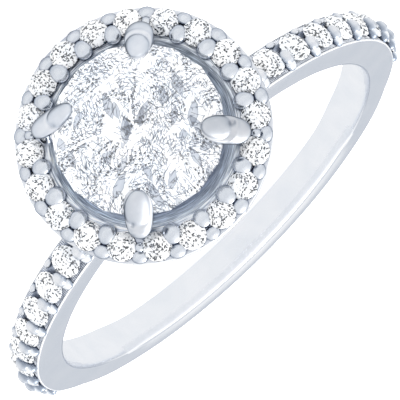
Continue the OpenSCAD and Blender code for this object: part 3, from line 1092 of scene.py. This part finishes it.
# Collar round each rise: how far out it lies, as a multiple of the rise's size, and its height
COLLARS = ((1.5, 0.03), (1.45, 0.05), (1.32, 0.03), (1.4, 0.0))
# Hollows left by the pliers: distance from the head's axis, place sideways, radius and depth
HOLLOWS = (
    ((3.88, -0.12, 0.1, 0.1), (4.1, -0.22, 0.1, 0.05)),
    ((3.74, 0.22, 0.18, 0.16),),
    ((3.7, -0.3, 0.14, 0.04),),
    ((3.4, -0.1, 0.14, 0.1),),
)


class Oval:
    """A rounded outline in the plane of the head: long towards the centre stone, narrowed at one end."""

    def __init__(self, radius, aside, turn, half_long, half_wide, taper, square):
        self.middle = (radius, aside)
        self.turn = math.radians(turn)
        self.half = (half_long, half_wide)
        self.taper = taper
        self.square = square

    def spot(self, way, share):
        """Place at an angle round the outline, at a share of the way out to it."""
        along, aside = math.cos(way), math.sin(way)
        size = share / (abs(along) ** self.square + abs(aside) ** self.square) ** (1 / self.square)
        a = along * size
        b = aside * size * self.half[1] * (1 - self.taper * a)
        a *= self.half[0]
        cos, sin = math.cos(self.turn), math.sin(self.turn)
        return self.middle[0] - a * cos + b * sin, self.middle[1] + a * sin + b * cos

    def reach(self, radius, aside):
        """How far out a place lies: 0 in the middle, 1 on the outline."""
        dr, ds = radius - self.middle[0], aside - self.middle[1]
        cos, sin = math.cos(self.turn), math.sin(self.turn)
        a = (-dr * cos + ds * sin) / self.half[0]
        b = (dr * sin + ds * cos) / (self.half[1] * max(1 - self.taper * a, 0.3))
        return (abs(a) ** self.square + abs(b) ** self.square) ** (1 / self.square)


def main_prong(number, mats):
    """A leg from the shank through the halo, and a claw bent over the centre stone's crown."""
    angle = (number - 0.5) * 360 / MAIN_PRONGS
    side = Vector(on_halo(angle + 90, 1, 0))
    outline, egg = [Oval(*values) for values in CLAWS[number - 1]]
    hollows = HOLLOWS[number - 1]
    collar, collar_rise = COLLARS[number - 1]
    turns = [2 * math.pi * k / CLAW_TURNS for k in range(CLAW_TURNS)]
    over = [math.sin(math.pi / 2 * k / CLAW_STEPS) for k in range(1, CLAW_STEPS + 1)]
    under = over[-2::-3]

    def at(radius, height, aside=0.0):
        return Vector(on_halo(angle, radius, height)) + side * aside

    def place(way, share, on_top):
        """A point of the claw, at an angle round its outline and a share of the way out to it."""
        radius, aside = outline.spot(way, share)
        inwards = CENTRE_D / 2 - radius
        height = HALO_H + CLAW_LIFT + CROWN_SLOPE * inwards + CROWN_BEND * inwards * inwards
        if not on_top:
            return at(radius, height - CLAW_DEPTH * math.sqrt(1 - share * share), aside)
        height += CLAW_RISE * math.sqrt(1 - share ** CLAW_POWER)
        inner = egg.reach(radius, aside)
        inside = between(1 - share, 0.0, RELIEF_FADE)
        height += inside * collar_rise * math.exp(-((inner - collar) / COLLAR_W) ** 2)
        height += inside * EGG_RISE * max(1 - inner * inner, 0) ** EGG_POWER
        height -= inside * CREASE * math.exp(-((inner - CREASE_AT) / CREASE_W) ** 2)
        for hollow_radius, hollow_aside, size, depth in hollows:
            away = math.hypot(radius - hollow_radius, aside - hollow_aside) / size
            height -= inside * depth * math.exp(-away * away)
        return at(radius, height, aside)

    def finish(i, j):
        outside = egg.reach(*outline.spot(turns[j], over[min(i, CLAW_STEPS - 1)])) > CREASE_AT
        return CLAW_BODY if i < CLAW_STEPS and outside else CLAW_EGG

    marks = []
    for radius, height, half_wide, half_thick, follow in LEG:
        marks.append((at(radius, height, outline.middle[1] * follow), half_wide, half_thick))
    draw = Drawing()
    rod(draw, domed(smooth_path(marks, LEG_STEPS), *LEG_ENDS), side, CLAW_LEG)
    rings = [[place(0, 0, True)]]
    rings += [[place(way, share, True) for way in turns] for share in over]
    rings += [[place(way, share, False) for way in turns] for share in under]
    rings += [[place(0, 0, False)]]
    draw.tube(rings, finish)
    draw.piece("main_prong_%d" % number, mats, CLAW_SHARP)


# Stage, in metres

FLOOR_TONE = (0.9, 0.9, 0.9)
FLOOR_ROUGH = 0.9
FLOOR_GLOW = 0.75
FLOOR_HALF = 2.0
# Tones of the studio by height, from straight down, 0, to straight up, 1, in front and behind
HAZY, DIM, TOP = (0.9, 0.908, 0.925), (0.62, 0.65, 0.7), (1.05, 1.05, 1.05)
FRONT_SKY = ((0.0, HAZY), (0.5, HAZY), (0.72, (0.78, 0.8, 0.84)), (0.9, (0.95, 0.955, 0.97)), (1.0, TOP))
BACK_LOW = ((0.0, HAZY), (0.4, HAZY), (0.45, DIM), (0.6, DIM))
BACK_SKY = (*BACK_LOW, (0.68, (1.0, 1.0, 1.0)), (0.8, (1.15, 1.15, 1.15)), (1.0, TOP))
BACK_STARTS, BACK_ENDS = -0.15, 0.35
# The light and dark that is seen through the stones, and the light that falls on rough surfaces
DARK_SPARKS = ((0.0, (0.3, 0.33, 0.37)), (0.42, (0.4, 0.43, 0.47)))
SPARKS = (*DARK_SPARKS, (0.46, (1.3, 1.32, 1.35)), (1.0, (1.5, 1.5, 1.5)))
SPARK_SCALE = 3.0
SPARK_DETAIL = 2.0
FALLING_LIGHT = (1.6, 1.6, 1.6)
LAMP_SIZE = 0.3
LAMP_POWER = 1.5
LAMP_AT = (0.05, 0.05, 0.5)


def floor():
    """A plain pale floor that the ring lies on."""
    mat, tree, shader = principled("floor")
    shader.inputs["Base Color"].default_value = (*FLOOR_TONE, 1)
    shader.inputs["Roughness"].default_value = FLOOR_ROUGH
    shader.inputs["Emission Color"].default_value = (*WHITE, 1)
    shader.inputs["Emission Strength"].default_value = FLOOR_GLOW
    data = bpy.data.meshes.new("floor")
    corners = [(x * FLOOR_HALF, y * FLOOR_HALF, 0) for x, y in ((-1, -1), (1, -1), (1, 1), (-1, 1))]
    data.from_pydata(corners, [], [(0, 1, 2, 3)])
    obj = bpy.data.objects.new("floor", data)
    bpy.context.scene.collection.objects.link(obj)
    obj.data.materials.append(mat)
    obj.visible_glossy = False
    obj.visible_transmission = False


def studio():
    """Soft light from all sides, a little darker low down behind; the stones see a finer mix of light and
    dark."""
    world = bpy.data.worlds.new("studio")
    bpy.context.scene.world = world
    world.use_nodes = True
    tree = world.node_tree
    back = tree.nodes["Background"]
    coord = add(tree, "TexCoord")
    way = coord.outputs["Generated"]
    split = add(tree, "SeparateXYZ")
    height = add(tree, "MapRange", From_Min=-1.0)
    tree.links.new(way, split.inputs[0])
    tree.links.new(split.outputs["Z"], height.inputs["Value"])
    front_sky = colours(tree, height.outputs[0], FRONT_SKY)
    back_sky = colours(tree, height.outputs[0], BACK_SKY)
    side = add(tree, "MapRange", Value=split.outputs["Y"], From_Min=BACK_STARTS, From_Max=BACK_ENDS)
    sky = blended(tree, "MIX", front_sky, back_sky, side.outputs[0])
    sparks = colours(tree, noise(tree, way, SPARK_SCALE, SPARK_DETAIL), SPARKS)
    path = add(tree, "LightPath")
    bright = add(tree, "RGB")
    bright.outputs[0].default_value = (*FALLING_LIGHT, 1)
    soft = blended(tree, "MIX", sky, bright.outputs[0], path.outputs["Is Diffuse Ray"])
    seen = blended(tree, "MIX", soft, sparks, path.outputs["Is Transmission Ray"])
    tree.links.new(seen, back.inputs["Color"])
    back.inputs["Strength"].default_value = 1.0
    light = bpy.data.lights.new("top_light", "AREA")
    light.shape = "DISK"
    light.size = LAMP_SIZE
    light.energy = LAMP_POWER
    lamp = bpy.data.objects.new("top_light", light)
    lamp.location = LAMP_AT
    bpy.context.scene.collection.objects.link(lamp)
    lamp.rotation_euler = (CENTRE - lamp.location).to_track_quat("-Z", "Y").to_euler()
    bpy.context.scene.view_settings.view_transform = "Standard"


# Materials of the claws, with light and shade painted on: tones of the top and the sides, of the rise and
# of the rest, with one dark tone at the foot. The rise is painted darker than the rest, and each claw a
# little lighter or darker as the light falls on it
RISE_TONES = ((0.84, 0.865, 0.905), (0.71, 0.75, 0.81))
BODY_TONES = ((0.89, 0.905, 0.935), (0.7, 0.74, 0.8))
CLAW_FOOT_SHADE = (0.12, 0.15, 0.2)
CLAW_LIGHT = (0.95, 0.86, 1.08, 1.08)


def claw_metal(name, tones, light, rough):
    lit = [tuple(light * value for value in tone) for tone in tones]
    return dome_shaded_metal(name, *lit, CLAW_FOOT_SHADE, rough=rough)


camera()

# The metal's finishes; some carry painted shade or a painted highlight
gold = metal("white_gold", *POLISH, 0.14)
band_gold = metal("white_gold_band", *POLISH, 0.17)
soft_gold = metal("white_gold_soft", *POLISH, 0.42)
shade_gold = metal("white_gold_shade", SILVER, (0.77, 0.8, 0.86), MIST, 0.25)
# Painted highlight along the rounded outer edge, with rougher gloss
edge_highlight_gold = metal("white_gold_edges", WHITE, (0.96, 0.97, 0.98), (0.9, 0.91, 0.93), 0.6)
# Painted shade for the grooves between the ribs
rib_groove_shade = metal("white_gold_ribs", SLATE, (0.34, 0.38, 0.46), (0.85, 0.87, 0.9), 0.4, metallic=0.5)
# Painted shade for the pits and under the stones' edges
recess_shade = metal("white_gold_recess", SLATE, (0.3, 0.34, 0.42), MIST, 0.3, metallic=0.8)
cup = metal("white_gold_cups", (0.95, 0.96, 0.98), (0.9, 0.92, 0.95), (0.8, 0.82, 0.85), 0.3, metallic=0.5)
channel = channel_metal()
# Beads and shank claws: light and shade painted on their domes
bead_gold = dome_shaded_metal("white_gold_beads", PEARL, (0.66, 0.7, 0.77), SHADOW)
shank_claw_gold = dome_shaded_metal("white_gold_shank_claws", (0.95, 0.96, 0.98), (0.76, 0.8, 0.86),
                              (0.45, 0.5, 0.58), from_head=False)
# Painted highlight: the tips are a lighter copy of the shank claws' metal
shank_tip_highlight_gold = dome_shaded_metal("white_gold_shank_tips", WHITE, PEARL, SHADOW, from_head=False, metallic=0.75)

# The stones, and the solids that show as they are
# The stones' marks are flaws and painted dark reflections
centre_diamond = diamond("centre_diamond", 0.3, (4.0, 0.08), large_flaws_and_reflections)
small_diamond = diamond("small_diamond", 0.3, (5.0, 0.12), small_flaws_and_reflections)
own = {"ring_metal": gold, "centre_stone": centre_diamond}
for name, obj in frame["nodes"].items():
    wear(obj, own.get(name, small_diamond))

# The finer pieces of the metal
shank_band((band_gold, recess_shade, cup, rib_groove_shade, edge_highlight_gold, shade_gold, soft_gold))
shank_prongs((shank_claw_gold, shank_tip_highlight_gold))
halo_gallery((gold, recess_shade, channel, cup))
halo_beads(bead_gold)
for number, light in enumerate(CLAW_LIGHT, 1):
    # Shaded and lit copies of the claw's metal: the rise darker, the rest lighter
    rise_gold = claw_metal("white_gold_claw_%d" % number, RISE_TONES, light, 0.45)
    body_gold = claw_metal("white_gold_body_%d" % number, BODY_TONES, light, 0.35)
    main_prong(number, (rise_gold, body_gold, gold))

floor()
studio()
